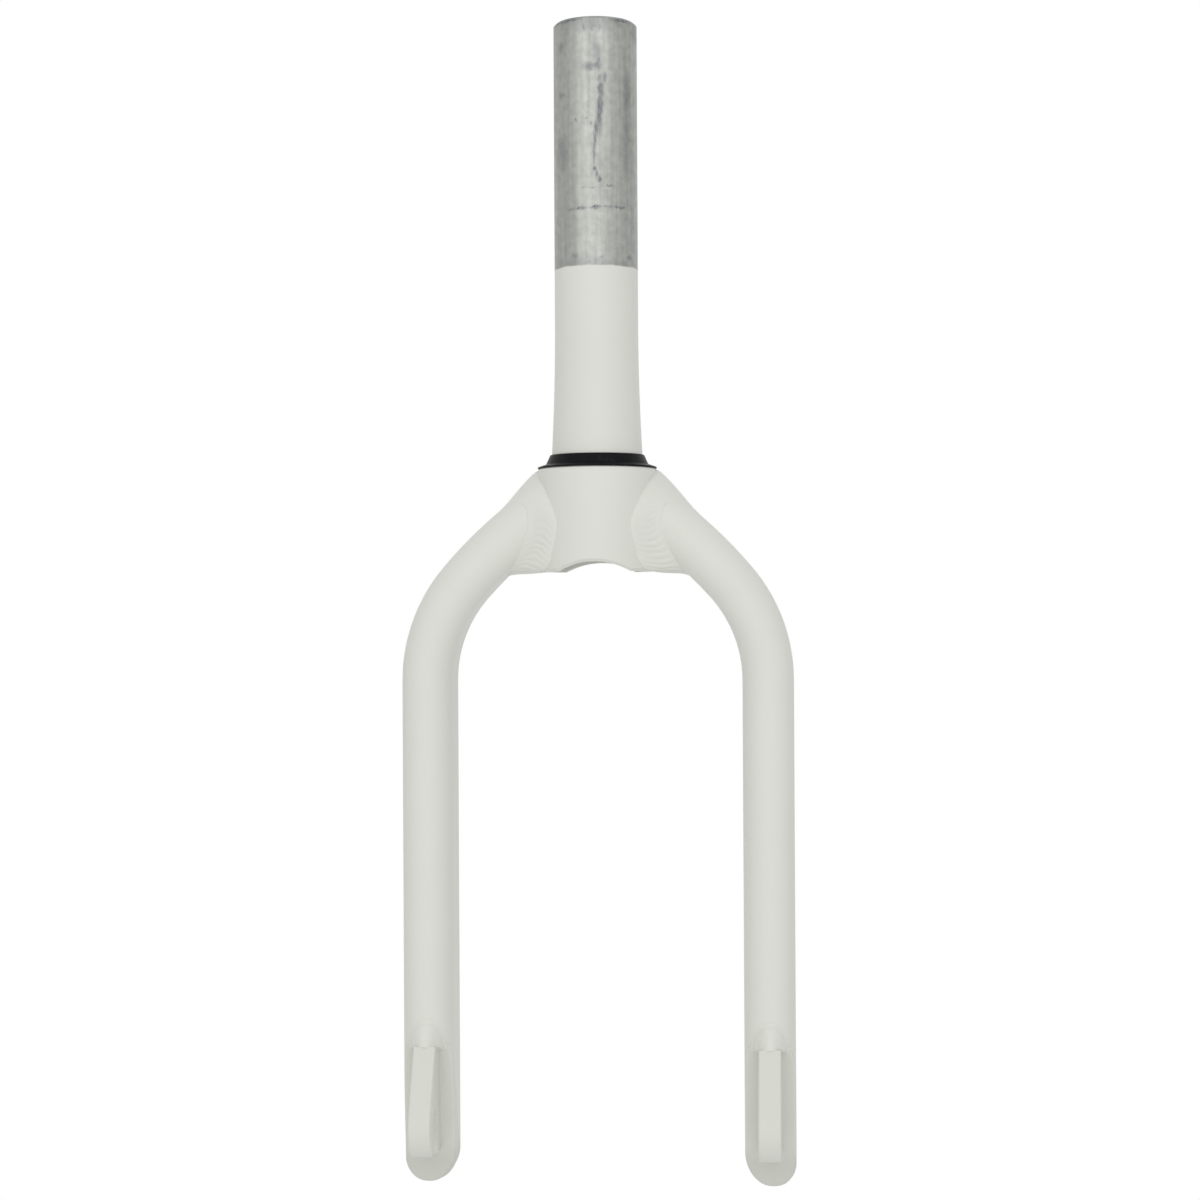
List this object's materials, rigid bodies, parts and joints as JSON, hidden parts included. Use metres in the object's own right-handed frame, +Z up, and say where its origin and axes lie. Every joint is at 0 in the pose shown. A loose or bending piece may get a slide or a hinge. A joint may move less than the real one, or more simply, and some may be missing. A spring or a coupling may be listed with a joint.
{
  "type": "bicycle fork",
  "caption": "Rigid bicycle fork for a small wheel: straight threadless steerer with crown race, welded crown, bent oval legs and forward slotted dropouts at slash-cut leg ends.",
  "frame": {"origin": "on the steerer axis at the crown top face, where the crown race sits", "axes": "+Z up along the steerer, -Y to the front of the bicycle, +X to the rider's left"},
  "size_m": [0.1338, 0.0504, 0.3993],
  "materials": {
    "steerer_finish": "satin white paint below, bare drawn aluminium above",
    "race_black": "satin black",
    "white_paint": "satin off-white paint",
    "weld_paint": "satin off-white paint over weld ripples"
  },
  "bodies": {
    "root": {"steerer_crown": "steerer_finish", "crown_race": "race_black", "left_leg": "white_paint", "right_leg": "white_paint", "left_dropout": "white_paint", "right_dropout": "white_paint", "left_crown_weld": "weld_paint", "right_crown_weld": "weld_paint", "left_dropout_weld": "weld_paint", "right_dropout_weld": "weld_paint"}
  },
  "joints": []
}
